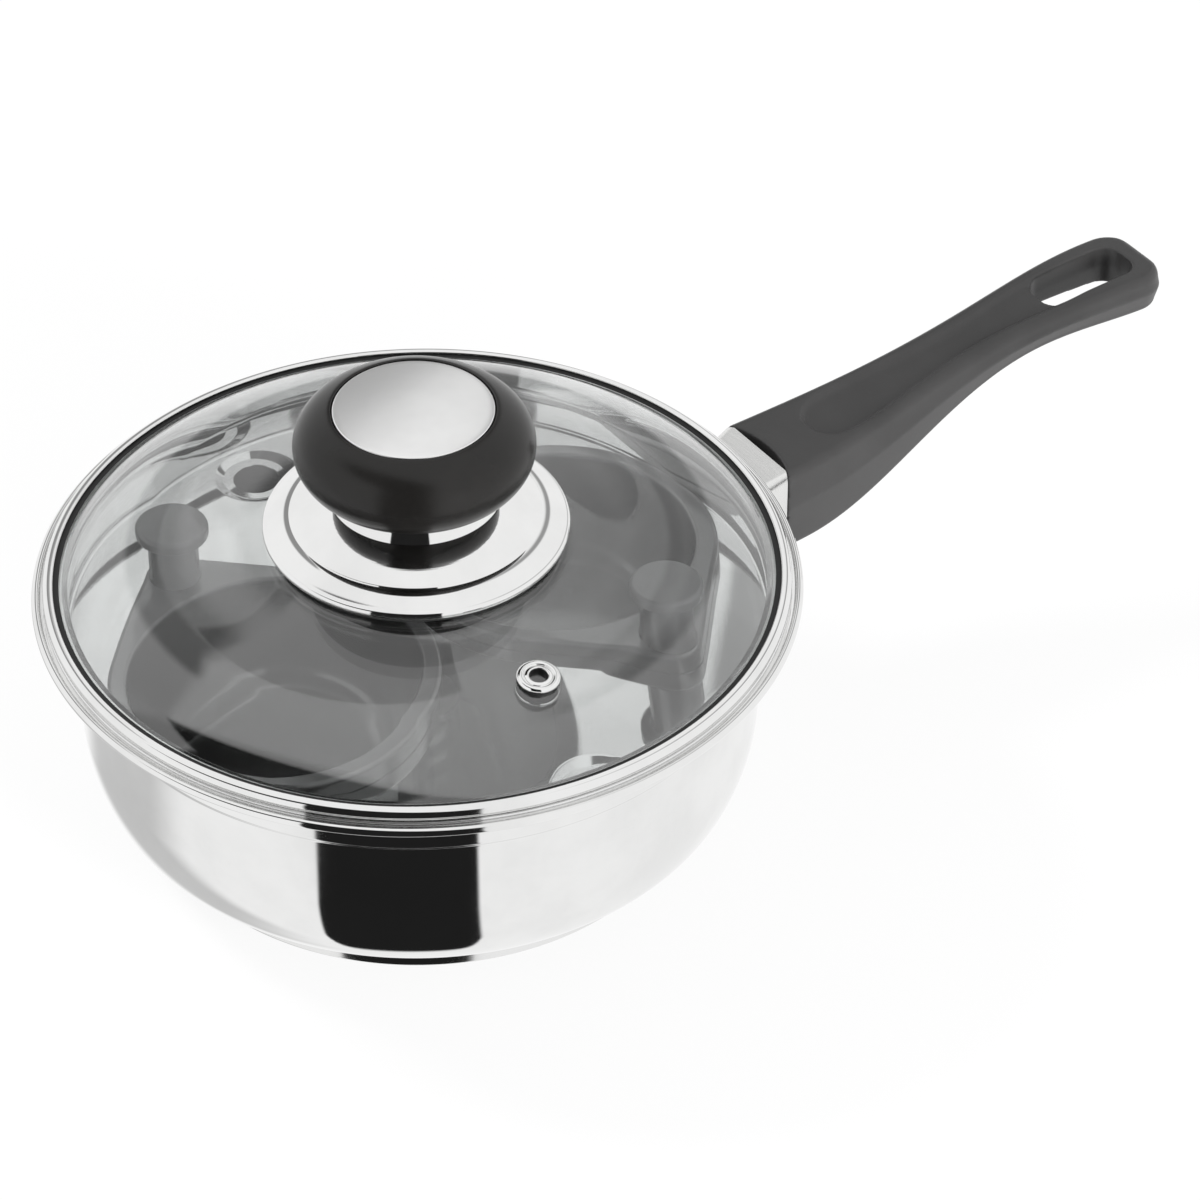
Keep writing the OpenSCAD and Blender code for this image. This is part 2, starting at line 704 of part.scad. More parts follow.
module knob_skirt()
    color(steel) difference() {
        rotate_extrude() {
            polygon(concat(
                [[roll_mid, skirt_z + 2 * skirt_roll]],
                bell(0, neck_r),
                [[neck_r, knob_z], [0, knob_z], [0, knob_z - skirt_t], [neck_r - skirt_t, knob_z - skirt_t]],
                reversed(bell(skirt_t, neck_r - skirt_t)),
                [[roll_mid, skirt_z + 2 * skirt_roll - skirt_t]]));
            translate([roll_mid, skirt_z + skirt_roll]) circle(skirt_roll);
        }
        translate([0, 0, glass_z]) cylinder(r = knob_screw_d / 2 + screw_room, h = 2 * skirt_h);
    }

// The seal lies on the glass under the skirt's rolled edge
module knob_seal_upper()
    color(rubber) rotate_extrude() polygon([
        [seal_r - seal_w, glass_at(seal_r - seal_w) + fit], [seal_r, glass_at(seal_r) + fit],
        [seal_r, skirt_z], [seal_r - seal_w, skirt_z]]);

// Radius of the knob at a height above the skirt: an ellipse round its foot's radius
function knob_at(h) = let (s = (h - knob_wide_h) / knob_half_h)
    knob_foot + knob_bulge * sqrt(max(0, 1 - s * s));

// The knob is turned, with a seat for the disc in its top and a bore for the threaded insert
module knob_body()
    color(phenolic) translate([0, 0, knob_z]) difference() {
        rotate_extrude() polygon(concat(
            [[0, 0]], [for (i = [0:20]) [knob_at(knob_h * i / 20), knob_h * i / 20]], [[0, knob_h]]));
        translate([0, 0, knob_h - disc_t]) cylinder(r = disc_r + disc_gap, h = knob_h);
        translate([0, 0, -eps]) cylinder(r = insert_r + fit, h = insert_h + eps);
    }

module knob_disc()
    color(steel) translate([0, 0, disc_z]) rotate_extrude() polygon(concat(
        [[0, -disc_t], [disc_r, -disc_t]],
        [for (i = [10:-1:0]) [disc_r * i / 10, disc_rise * (1 - pow(i / 10, 2))]]));

module knob_insert()
    color("goldenrod") translate([0, 0, knob_z]) difference() {
        cylinder(r = insert_r, h = insert_h);
        translate([0, 0, -eps]) cylinder(r = knob_screw_d / 2 + fit, h = insert_h + eps - screw_spare);
    }

// Under the glass: a rubber ring, a steel washer and the screw that clamps them all
module knob_seal_lower()
    color(rubber) translate([0, 0, clamp_z])
        ring(washer_r - 1, knob_screw_d / 2 + screw_room, washer_t - touch);

module knob_washer()
    color(satin) translate([0, 0, clamp_z - washer_t])
        ring(washer_r, knob_screw_d / 2 + screw_room, washer_t);

module knob_screw()
    translate([0, 0, clamp_z - washer_t])
        screw(knob_screw_d, knob_z + insert_h - clamp_z + washer_t - 2 * screw_spare);

pan_body();
base_core_disc();
base_cap();
handle_bracket();
flame_guard();
handle();
handle_screw();
handle_screw_washer();
egg_tray();
cup_1();
cup_1_peg();
cup_1_peg_screw();
cup_2();
cup_2_peg();
cup_2_peg_screw();
lid_glass();
lid_rim_band();
steam_vent_eyelet();
steam_vent_gasket();
knob_skirt();
knob_seal_upper();
knob_body();
knob_disc();
knob_insert();
knob_screw();
knob_washer();
knob_seal_lower();
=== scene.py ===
"""The looks of a two-cup egg poacher pan. Lengths are in millimetres until a mesh is made."""
from math import acos, asin, atan2, cos, degrees, pi, radians, sin, sqrt, tan

import bmesh
import bpy
from mathutils import Matrix, Vector


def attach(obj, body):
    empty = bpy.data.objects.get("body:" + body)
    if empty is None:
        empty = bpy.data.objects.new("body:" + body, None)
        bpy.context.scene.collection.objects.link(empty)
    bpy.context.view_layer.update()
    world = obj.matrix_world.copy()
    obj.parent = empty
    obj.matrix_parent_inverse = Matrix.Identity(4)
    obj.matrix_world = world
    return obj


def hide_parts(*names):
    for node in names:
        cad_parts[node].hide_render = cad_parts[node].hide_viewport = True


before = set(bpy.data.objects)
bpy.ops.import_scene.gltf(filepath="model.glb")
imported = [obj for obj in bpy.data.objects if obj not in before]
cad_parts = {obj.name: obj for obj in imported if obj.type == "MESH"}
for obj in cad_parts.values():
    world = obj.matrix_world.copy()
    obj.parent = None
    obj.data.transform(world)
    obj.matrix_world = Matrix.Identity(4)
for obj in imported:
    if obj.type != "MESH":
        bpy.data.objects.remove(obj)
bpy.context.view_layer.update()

# Pan body
# The vessel is one sheet of stainless steel, deep drawn and polished inside and out. A soft step
# runs round the wall, and the rim flares out to a flat land and ends in a rolled edge.
MM = 0.001
wall_r = 80
sheet = 0.8
base_h = 6
belly_r, belly_z = 38, 31
corner_r, corner_x, corner_a = 16, 62.07, -24.15
step_low, step_high, step_w = 49.2, 51.0, 0.7
flare_r, land_z, land_w = 6.5, 63.1, 2.5
roll_r, roll_rise = 1.1, 0.5
flat_margin = 1
flare_x = wall_r + step_w - sheet + flare_r
roll_x, roll_z = flare_x + land_w, land_z + roll_rise - roll_r


def arc(x, z, r, start, end, steps=12):
    """Points of a profile on an arc, from one angle in degrees to another."""
    angles = [radians(start + (end - start) * i / steps) for i in range(steps + 1)]
    return [(x + r * cos(a), z + r * sin(a)) for a in angles]


def sweep(x0, z0, x1, z1, steps=8):
    """Points of a soft step between two upright stretches of a profile."""
    parts = [i / steps for i in range(steps + 1)]
    return [(x0 + (x1 - x0) * (1 - cos(pi * t)) / 2, z0 + (z1 - z0) * t) for t in parts]


def to_piece(work, mesh, sharp=32):
    """A piece from a worked mesh: faces look outward, and only edges over an angle stay sharp."""
    bmesh.ops.recalc_face_normals(work, faces=work.faces)
    work.to_mesh(mesh)
    work.free()
    mesh.shade_smooth()
    mesh.set_sharp_from_angle(angle=radians(sharp))
    piece = bpy.data.objects.new(mesh.name, mesh)
    bpy.context.scene.collection.objects.link(piece)
    piece.modifiers.new("even_normals", "WEIGHTED_NORMAL").keep_sharp = True
    return piece


def shell(name, points, faces):
    """A closed piece from points in millimetres and faces between them."""
    mesh = bpy.data.meshes.new(name)
    mesh.from_pydata([Vector(p) * MM for p in points], [], faces)
    work = bmesh.new()
    work.from_mesh(mesh)
    return to_piece(work, mesh)


def circle(r, x, y, z, count):
    """Points round a circle."""
    angles = [2 * pi * i / count for i in range(count)]
    return [(x + r * cos(a), y + r * sin(a), z) for a in angles]


def lathe(name, profile, centre=(0, 0), turns=224):
    """A piece turned round an upright axis from its closed profile of (radius, height) points."""
    points, rings, faces = [], [], []
    for radius, height in profile:
        count = turns if radius > 1e-6 else 1
        rings.append([len(points) + i for i in range(count)])
        points += circle(radius, *centre, height, count)
    for low, high in zip(rings, rings[1:] + rings[:1]):
        for i in range(turns if len(low) + len(high) > 2 else 0):
            ahead = (i + 1) % turns
            corners = [(low, i), (low, ahead), (high, ahead), (high, i)]
            faces.append(list(dict.fromkeys(ring[place % len(ring)] for ring, place in corners)))
    return shell(name, points, faces)


class Socket:
    """A node's output that Python's arithmetic works on. make adds any other node."""

    def __init__(self, tree, output=None):
        self.tree, self.output = tree, output

    def make(self, kind, settings, inputs, out=0):
        node = self.tree.nodes.new(kind)
        for name, value in settings.items():
            setattr(node, name, value)
        for key, value in inputs.items():
            if isinstance(value, Socket):
                self.tree.links.new(value.output, node.inputs[key])
            else:
                node.inputs[key].default_value = value
        if isinstance(out, tuple):
            return [Socket(self.tree, node.outputs[o]) for o in out]
        return Socket(self.tree, node.outputs[out])

    def maths(self, operation, first, second=0.0):
        return self.make("ShaderNodeMath", {"operation": operation}, {0: first, 1: second})

    def __add__(self, other):
        return self.maths("ADD", self, other)

    def __sub__(self, other):
        return self.maths("SUBTRACT", self, other)

    def __rsub__(self, other):
        return self.maths("SUBTRACT", other, self)

    def __mul__(self, other):
        return self.maths("MULTIPLY", self, other)

    def __truediv__(self, other):
        return self.maths("DIVIDE", self, other)

    def __pow__(self, other):
        return self.maths("POWER", self, other)

    __radd__, __rmul__ = __add__, __mul__

    def place(self):
        """Where a point lies on the object, which is the same at every pose."""
        return self.make("ShaderNodeTexCoord", {}, {}, "Object")

    def noise(self, place, scale, detail=2.0, rough=0.5):
        inputs = {"Vector": place, "Scale": scale, "Detail": detail, "Roughness": rough}
        return self.make("ShaderNodeTexNoise", {}, inputs)

    def between(self, value, low, high, start=0.0, end=1.0):
        """The value's smooth way from start to end while it runs from low to high."""
        inputs = {"Value": value, "From Min": low, "From Max": high, "To Min": start, "To Max": end}
        return self.make("ShaderNodeMapRange", {"interpolation_type": "SMOOTHSTEP"}, inputs)

    def blend(self, part, first, second):
        """A mix of two colours."""
        first, second = [c if isinstance(c, Socket) else (*c, 1) for c in (first, second)]
        colour_a, colour_b, colour_out = 6, 7, 2
        inputs = {"Factor": part, colour_a: first, colour_b: second}
        return self.make("ShaderNodeMix", {"data_type": "RGBA"}, inputs, colour_out)

    def bump(self, height, depth, strength=1.0):
        inputs = {"Height": height, "Distance": depth, "Strength": strength}
        return self.make("ShaderNodeBump", {}, inputs)


def material(name, paint):
    """A material from paint, which makes its nodes and returns a shader or a Principled's inputs."""
    made = bpy.data.materials.new(name)
    made.use_nodes = True
    made.node_tree.nodes.clear()
    start = Socket(made.node_tree)
    shader = paint(start)
    if isinstance(shader, dict):
        shader = start.make("ShaderNodeBsdfPrincipled", {}, shader)
    start.make("ShaderNodeOutputMaterial", {}, {"Surface": shader}, ())
    return made


def steel(name, colour, rough, lines):
    """Stainless steel with polishing lines round the pan's axis, and faint smears from wiping."""
    full_lines = 0.06

    def paint(s):
        place = s.place()
        x, y, z = s.make("ShaderNodeSeparateXYZ", {}, {0: place}, ("X", "Y", "Z"))
        radius = (x * x + y * y) ** 0.5
        turned = s.make("ShaderNodeCombineXYZ", {}, {0: radius, 1: z})
        line = s.noise(turned, 2400, 3.0, 0.7)
        smear = s.noise(place, 34, 4.0, 0.6)
        dull = [0.93 * c for c in colour]
        return {
            "Base Color": s.blend(s.between(smear, 0.35, 0.7), colour, dull),
            "Metallic": 1.0,
            "Roughness": rough + lines * line + 0.03 * s.between(smear, 0.45, 0.75),
            "Normal": s.bump(line, 0.00002, 0.35 * lines / full_lines),
        }

    return material(name, paint)


def dress(piece, finish):
    """Gives a piece its finish."""
    piece.data.materials.clear()
    piece.data.materials.append(finish)
    return piece


def pan_side(inset):
    """One face of the pan's sheet from the middle out, the outside or the inside."""
    return (
        [(0, base_h + inset), (corner_x - flat_margin, base_h + inset)]
        + arc(corner_x, base_h + corner_r, corner_r - inset, -90, corner_a, 20)
        + arc(wall_r - belly_r, belly_z, belly_r - inset, corner_a, 0, 16)[1:]
        + sweep(wall_r - inset, step_low - inset / 2, wall_r + step_w - inset, step_high - inset / 2)
        + arc(flare_x, land_z - flare_r, flare_r - sheet + inset, 180, 90, 16)
    )


polished = steel("polished_steel", (0.86, 0.86, 0.855), 0.025, 0.035)
low_cut = degrees(asin((land_z - sheet - roll_z) / roll_r))
high_cut = degrees(asin((land_z - roll_z) / roll_r))
rim = arc(roll_x, roll_z, roll_r, -180 - low_cut, 180 - high_cut, 40)
pan = lathe("pan", pan_side(0) + rim + pan_side(sheet)[::-1], turns=320)
dress(pan, polished)
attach(pan, "pan")
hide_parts("pan_body")

# Sandwich base
# An aluminium disc that spreads the heat, closed in by a pressed steel cap. The cap is brazed on
# under the pan, its wall leans in towards the stove, and its foot is ground in fine circles.
cap_top, cap_low, cap_corner, cap_t, cap_lip = 66.07, 65.07, 1.5, 0.6, 0.25
cap_flat = cap_low - cap_corner
cap_outside = [(0, 0), (cap_flat - flat_margin, 0)] + arc(cap_flat, cap_corner, cap_corner, -90, 0)
cap_edge = arc(cap_top - cap_lip, base_h - cap_lip, cap_lip, 0, 90, 5) + [(cap_top - cap_t, base_h)]
cap_inside = arc(cap_flat, cap_corner, cap_corner - cap_t, 0, -90, 6) + [(0, cap_t)]
base_cap = lathe("base_cap_shell", cap_outside + cap_edge + cap_inside, turns=288)
dress(base_cap, steel("ground_steel", (0.82, 0.82, 0.815), 0.06, 0.09))
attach(base_cap, "pan")
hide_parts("base_cap")


def aluminium_paint(s):
    """Rolled aluminium, plain and a little dull."""
    place = s.place()
    grain = s.noise(place, 900, 4.0)
    return {
        "Base Color": s.blend(grain, (0.62, 0.62, 0.63), (0.74, 0.74, 0.75)),
        "Metallic": 1.0,
        "Roughness": 0.35 + 0.2 * grain,
        "Normal": s.bump(grain, 0.00003),
    }


dress(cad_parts["base_core_disc"], material("rolled_aluminium", aluminium_paint))

# Flame guard and bracket
# A thin steel collar stands between the wall and the handle and keeps the flame off the plastic.
# Behind it the handle's bracket is spot welded to the wall, with a tongue into the handle.
guard_t, guard_gap, step_reach = 0.8, 0.15, 1
front_arc, front_arc_x = 28, 73.3
near_half, near_low, near_high, near_round, near_low_round = 11.6, 37.6, 51.9, 4.5, 3
far_half, far_low, far_high, far_round, far_low_round = 13.0, 35.5, 58.1, 2.6, 2.2


def rounded(half, low, high, top_r, low_r, steps=10):
    """A section across the handle's axis, with (across, height) points and four round corners."""
    corners = [(half - low_r, low + low_r, low_r, -90), (half - top_r, high - top_r, top_r, 0),
               (top_r - half, high - top_r, top_r, 90), (low_r - half, low + low_r, low_r, 180)]
    return [p for x, z, r, start in corners for p in arc(x, z, r, start, start + 90, steps)]


def guard_end(half, low, high, top_r, low_r, inset):
    """The guard's section at one of its ends, drawn in by an inset."""
    return rounded(half - inset, low + inset, high - inset, top_r - inset, low_r - inset)


def guard_skin(inset, steps=24):
    """Rows of points on one face of the guard, from the wall out to the handle's hollow front."""
    near = guard_end(near_half, near_low, near_high, near_round, near_low_round, inset)
    far = guard_end(far_half, far_low, far_high, far_round, far_low_round, inset)
    rows = []
    for i in range(steps + 1):
        part = i / steps
        row = []
        for (y0, z0), (y1, z1) in zip(near, far):
            y, z = y0 + (y1 - y0) * part, z0 + (z1 - z0) * part
            wall_here = wall_r + (step_w if z > step_low - step_reach else 0)
            wall = sqrt((wall_here + guard_gap) ** 2 - y * y)
            front = front_arc_x + sqrt((front_arc - guard_gap) ** 2 - y * y)
            row.append((wall + (front - wall) * part, y, z))
        rows.append(row)
    return rows


def stitch(rows, closed=True):
    """Faces between rows of equally many points, and on from the last row to the first."""
    count = len(rows[0])
    pairs = list(zip(range(len(rows)), list(range(1, len(rows))) + [0]))
    faces = []
    for low, high in pairs if closed else pairs[:-1]:
        for i in range(count):
            ahead = (i + 1) % count
            faces.append([low * count + i, low * count + ahead, high * count + ahead, high * count + i])
    return faces


guard_rows = guard_skin(0) + guard_skin(guard_t)[::-1]
guard = shell("flame_guard_collar", [p for row in guard_rows for p in row], stitch(guard_rows))
satin = steel("satin_steel", (0.84, 0.84, 0.83), 0.16, 0.12)
dress(guard, satin)
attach(guard, "pan")
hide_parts("flame_guard")
dress(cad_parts["handle_bracket"], satin)

# Handle
# One solid moulding of dark phenolic resin, with a thumb hollow and a hang hole. Its side has a
# mould line, above and below which the faces lean in. A screw from below holds it to the tongue.
handle_x, handle_len = 101.3, 116
handle_end = handle_x + handle_len
front_over = 5
front_z, climb = 58.5, 11.5
front_h, thin_h, end_h = 23.5, 9.0, 10.5
front_w, waist_w, end_w, end_r = 27, 19, 24, 7.5
top_round, low_round = 2.4, 1.8
side_lean, line_part = 0.7, 0.42
wave = 207
thin_from, thin_to, thick_at = 0.08, 0.7, 0.95
waist_at, wide_at = 0.53, 0.93
hang_x, hang_len, hang_w, hang_r, hang_lean = 184.3, 27, 12.0, 4.5, 0.3
slot_top, slot_waist, slot_low = 80, 64.5, 49
hollow_x, hollow_r, hollow_d, hollow_soft = 113.6, 7.5, 1.2, 1.8
fade_from, fade_to = hang_x + 4, hang_x + 16
slim_x, slim_half = 161.7, 4.1
screw_x, screw_way_r, screw_way_top = 113.3, 5.1, 41.75
tongue_half, tongue_low, tongue_high, tongue_round = 7.1, 45.1, 48.4, 0.3
tongue_from, tongue_to = 90, 122
row_from, row_count, end_rows = 20, 150, 30
voxel = 0.4


def ease(t, a, b):
    """A smooth way from 0 to 1 while t runs from a to b."""
    return (1 - cos(pi * min(1, max(0, (t - a) / (b - a))))) / 2


def section(x):
    """Half width, top and bottom of the handle at a distance along it."""
    t = (x - handle_x + front_over) / (handle_len + front_over)
    top = front_z + climb * (1 - cos(radians(wave * t))) / 2
    height = thin_h + (front_h - thin_h) * (1 - ease(t, thin_from, thin_to))
    height += (end_h - thin_h) * ease(t, thin_to, thick_at)
    width = waist_w + (front_w - waist_w) * (1 - ease(t, 0, waist_at))
    width += (end_w - waist_w) * ease(t, waist_at, wide_at)
    past = max(0, x - (handle_end - end_r))
    half = width / 2 - end_r + sqrt(max(0, end_r ** 2 - past ** 2))
    past = max(0, x - (handle_end - top_round))
    tuck = top_round - sqrt(max(0, top_round ** 2 - past ** 2))
    return half, top - tuck, top - height + tuck


def hollow_half(x):
    """Half width of the thumb hollow at a distance along the handle."""
    round_x = hollow_x + hollow_r
    if x < round_x:
        return sqrt(max(0, hollow_r ** 2 - (round_x - x) ** 2))
    if x < slim_x:
        return hollow_r + (slim_half - hollow_r) * ease(x, round_x, slim_x)
    return slim_half + (hang_w / 2 - slim_half) * ease(x, slim_x, hang_x + hang_r)


def handle_row(x):
    """One section of the handle as points: the mould line is its widest place."""
    half, top, low = section(x)
    line = top + (low - top) * line_part
    upper, lower = min(top_round, half * 0.8), min(low_round, half * 0.6)
    high_half, low_half = half - side_lean, half - 2 * side_lean
    right = arc(low_half - lower, low + lower, lower, -90, 0, 8)
    right += [(half, line)] + arc(high_half - upper, top - upper, upper, 0, 90, 10)
    flat = high_half - upper
    right += [(flat - flat * i / 12, top) for i in range(1, 13)]
    both = right + [(-y, z) for y, z in right[-2::-1]]
    depth = hollow_d * (1 - ease(x, fade_from, fade_to)) if x > hollow_x else 0
    row = []
    for y, z in both:
        edge = hollow_half(x) - abs(y)
        sunk = depth * ease(edge, -hollow_soft / 2, hollow_soft / 2)
        row.append((x, y, z - (sunk if z > top - 0.01 else 0)))
    return row


def solid(name, rows):
    """A closed piece from rows of points, with a face across its first and its last row."""
    count = len(rows[0])
    ends = [list(range(count))[::-1], list(range((len(rows) - 1) * count, len(rows) * count))]
    return shell(name, [p for row in rows for p in row], stitch(rows, False) + ends)


def slot_row(grow, z):
    """The hang hole's outline at a height, grown by a lean."""
    half, r = hang_w / 2 + grow, hang_r + grow
    middle = hang_x + hang_len / 2
    outline = rounded(hang_len / 2 + grow, -half, half, r, r)
    return [(middle + x, y, z) for x, y in outline]


first_x, last_x = front_arc_x + row_from, handle_end - end_r
stations = [first_x + (last_x - first_x) * i / row_count for i in range(row_count)]
stations += [last_x + end_r * sin(pi / 2 * i / end_rows) for i in range(end_rows + 1)]
handle = solid("handle_moulding", [handle_row(x) for x in stations])
slot_rows = [slot_row(grow, z) for grow, z in
             ((2 * hang_lean, slot_top), (0, slot_waist), (2 * hang_lean, slot_low))]
tongue = rounded(tongue_half, tongue_low, tongue_high, tongue_round, tongue_round)
cuts = [
    solid("front_cut", [circle(front_arc, front_arc_x, 0, z, 160) for z in (0, 100)]),
    solid("hang_cut", slot_rows),
    solid("screw_cut", [circle(screw_way_r, screw_x, 0, z, 96) for z in (20, screw_way_top)]),
    solid("tongue_cut", [[(x, y, z) for y, z in tongue] for x in (tongue_from, tongue_to)]),
]
for cut in cuts:
    step = handle.modifiers.new("cut", "BOOLEAN")
    step.operation, step.solver, step.object = "DIFFERENCE", "EXACT", cut
soften = handle.modifiers.new("moulded", "REMESH")
soften.mode, soften.voxel_size = "VOXEL", voxel * MM
relax = handle.modifiers.new("round_edges", "SMOOTH")
relax.factor, relax.iterations = 0.5, 5
bpy.context.view_layer.update()
shaped = handle.evaluated_get(bpy.context.evaluated_depsgraph_get())
finished = bpy.data.meshes.new_from_object(shaped)
handle.modifiers.clear()
handle.data = finished
finished.shade_smooth()
for cut in cuts:
    bpy.data.objects.remove(cut)


def phenolic(name, colour, gloss, shine=0.5):
    """Moulded phenolic resin: dark, fine grained and softly shining, with faint flow marks."""

    def paint(s):
        place = s.place()
        grain = s.noise(place, 2600, 3.0, 0.6)
        flow = s.noise(place, 55, 4.0, 0.55)
        pale = [1.35 * c for c in colour]
        return {
            "Base Color": s.blend(s.between(flow, 0.3, 0.75), colour, pale),
            "Roughness": gloss + 0.08 * grain + 0.07 * s.between(flow, 0.35, 0.7),
            "IOR": 1.5,
            "Specular IOR Level": shine,
            "Normal": s.bump(grain, 0.00004, 0.6),
        }

    return material(name, paint)


dress(handle, phenolic("handle_phenolic", (0.027, 0.0265, 0.0265), 0.34))
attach(handle, "pan")
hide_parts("handle")
for node in ("handle_screw", "handle_screw_washer"):
    dress(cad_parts[node], satin)

# Egg tray
# A second steel pressing hangs in the pan by its flange. Its floor has a round hole for each cup,
# and two steam holes, each in a shallow dish. It is polished so bright that the pegs show in it.
tray_t, seat_z, floor_z = 0.6, 63.7, 50.5
tray_r, tray_corner, flange_r = 79.5, 1.6, 87.2
insert_turn = radians(2)
cup_x, cup_hole_r = 39.45, 33.97
dish_r, dish_side, dish_h, dish_y, steam_r = 10.3, 2.7, 1.0, 67.4, 5.5
dish_margin, dish_soft = 0.2, 0.1
flat_r = tray_r - tray_corner - 0.15


def tray_side(inset):
    """One face of the tray's sheet outside its floor, from the floor's edge out to the flange."""
    return (
        [(flat_r, floor_z - tray_t + inset)]
        + arc(tray_r - tray_corner, floor_z - tray_t + tray_corner, tray_corner - inset, -90, 0, 10)
        + arc(tray_r + flare_r, land_z - flare_r, flare_r + inset, 180, 90, 20)
        + [(flange_r - flat_margin, land_z + inset)]
    )


tray_edge = arc(flange_r - tray_t / 2, land_z + tray_t / 2, tray_t / 2, -90, 90, 8)
tray_profile = tray_side(0) + tray_edge + tray_side(tray_t)[::-1]
tray_turns, hole_turns = 288, 128
work = bmesh.new()


def add_rows(rows):
    """Adds rows of points in millimetres to the tray, joined by faces, and returns their vertices."""
    made = [[work.verts.new(Vector(p) * MM) for p in row] for row in rows]
    for low, high in zip(made, made[1:]):
        for i in range(len(low)):
            ahead = (i + 1) % len(low)
            work.faces.new((low[i], low[ahead], high[ahead], high[i]))
    return made


side = add_rows([circle(r, 0, 0, z, tray_turns) for r, z in tray_profile])
tops, lows = [side[-1]], [side[0]]
for x in (-cup_x, cup_x):
    hole = add_rows([circle(cup_hole_r, x, 0, z, hole_turns) for z in (floor_z, floor_z - tray_t)])
    tops.append(hole[0])
    lows.append(hole[1])
dish_flat = dish_r - dish_side
dish_top = [
    (dish_r + dish_margin, 0), (dish_r, 0), (dish_r - 0.5, dish_soft), (dish_flat + 0.4, dish_h - 0.06),
    (dish_flat, dish_h), (steam_r + dish_soft, dish_h), (steam_r, dish_h + dish_soft),
]
dish_low = [(r, -down - tray_t) for r, down in dish_top[:-1][::-1]]
dish_profile = [(r, -down) for r, down in dish_top] + [(steam_r, -dish_h - tray_t + dish_soft)] + dish_low
for y in (-dish_y, dish_y):
    dish = add_rows([circle(r, 0, y, floor_z + z, hole_turns) for r, z in dish_profile])
    tops.append(dish[0])
    lows.append(dish[-1])
for loops in (tops, lows):
    edges = [work.edges.get((loop[i], loop[i - 1])) for loop in loops for i in range(len(loop))]
    bmesh.ops.triangle_fill(work, edges=edges, use_beauty=True)
bmesh.ops.rotate(work, verts=work.verts, matrix=Matrix.Rotation(insert_turn, 3, "Z"))
tray = to_piece(work, bpy.data.meshes.new("tray_pressing"))
dress(tray, steel("tray_steel", (0.84, 0.84, 0.84), 0.02, 0.02))
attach(tray, "tray")
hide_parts("egg_tray")

# Egg cups
# Each cup is spun from thin metal and coated with a grey non-stick finish. Its flange has a
# turned-down edge that stands on the tray, and it runs out to a round lug under the lifting peg.
rim_r, mouth_r, cup_t = 37.45, 33.25, 1.2
flange_h, cup_depth, cup_taper, cup_corner = 4.0, 24.5, 16.5, 6.0
flange_z = floor_z + flange_h
cup_z = flange_z - cup_depth
lean = radians(cup_taper)
bowl_x = mouth_r - (cup_depth - cup_corner) * tan(lean) - cup_corner / cos(lean)
lug_r, lug_y = 6.9, 43.05
edge_r, lip_r = 1.0, 0.8
foot_soft, fillet, throat, middle_r = 0.2, 0.4, 0.4, 0.6
round_steps, lug_steps, side_steps = 150, 40, 33


def teardrop(inset):
    """Outline of the flange, drawn in by an inset: two round ends and their common tangents."""
    big, small = rim_r - inset, lug_r - inset
    a = degrees(acos((rim_r - lug_r) / lug_y))
    cup_end = arc(0, 0, big, a - 90, 270 - a, round_steps)
    lug_end = arc(0, -lug_y, small, 270 - a, 270 + a, lug_steps)
    outline = []
    for end, ahead in ((cup_end, lug_end), (lug_end, cup_end)):
        (x0, y0), (x1, y1) = end[-1], ahead[0]
        parts = [i / side_steps for i in range(1, side_steps)]
        outline += end + [(x0 + (x1 - x0) * t, y0 + (y1 - y0) * t) for t in parts]
    return outline


def cup_rows():
    """Rows from the middle of the inside, over the flange and its edge, to the outside's middle."""
    bearings = [atan2(y, x) for x, y in teardrop(0)]
    corner_z, under = cup_z + cup_corner, flange_z - cup_t
    inside = [(middle_r, cup_z)] + arc(bowl_x, corner_z, cup_corner, -90, -cup_taper, 12)
    inside += arc(mouth_r + lip_r, flange_z - lip_r, lip_r, 180 - cup_taper, 90, 6)
    edge = [(edge_r - x, flange_z - edge_r + z) for x, z in arc(0, 0, edge_r, 90, 0, 6)]
    edge += [(0, floor_z + foot_soft), (foot_soft, floor_z), (cup_t, floor_z), (cup_t, under)]
    edge += [(cup_t + fillet, under)]
    outside = [(mouth_r + throat * cup_t, under)]
    outside += arc(bowl_x, corner_z, cup_corner + cup_t, -cup_taper, -90, 12)
    outside += [(middle_r, cup_z - cup_t)]
    rows = [[(r * cos(b), r * sin(b), z) for b in bearings] for r, z in inside]
    rows += [[(x, y, z) for x, y in teardrop(inset)] for inset, z in edge]
    return rows + [[(r * cos(b), r * sin(b), z) for b in bearings] for r, z in outside]


def coated(name):
    """Grey non-stick coating: sprayed, faintly flecked and softly shining, with painted shade making the
    bowl's inside near black and painted light making the flange's top a lighter grey.
    """

    def paint(s):
        place = s.place()
        spray = s.noise(place, 1500, 3.0, 0.7)
        cloud = s.between(s.noise(place, 60, 3.0), 0.3, 0.7)
        height = s.make("ShaderNodeSeparateXYZ", {}, {0: place}, "Z")
        # Painted shade and painted light: the inside is a near-black grey for the shade in the bowl, and
        # the flange a lighter grey for the light on it, switched by height just under the flange.
        inside = s.blend(cloud, (0.011, 0.011, 0.011), (0.015, 0.015, 0.015))
        lit_flange = s.blend(cloud, (0.085, 0.085, 0.086), (0.105, 0.105, 0.106))
        body = s.blend(s.between(height, (flange_z - 1.2) * MM, (flange_z - 0.1) * MM), inside, lit_flange)
        return {
            "Base Color": s.blend(s.between(spray, 0.66, 0.72, 0.0, 0.3), body, (0.16, 0.16, 0.17)),
            "Roughness": 0.30 + 0.10 * spray,
            "Normal": s.bump(spray, 0.00002, 0.5),
            "Coat Weight": 1.0,
            "Coat IOR": 1.8,
            "Coat Roughness": 0.14,
        }

    return material(name, paint)


def to_cup(n):
    """Where cup n stands: the second is the first turned half round in the tray."""
    return Matrix.Rotation(insert_turn + pi * (n - 1), 4, "Z") @ Matrix.Translation((cup_x * MM, 0, 0))


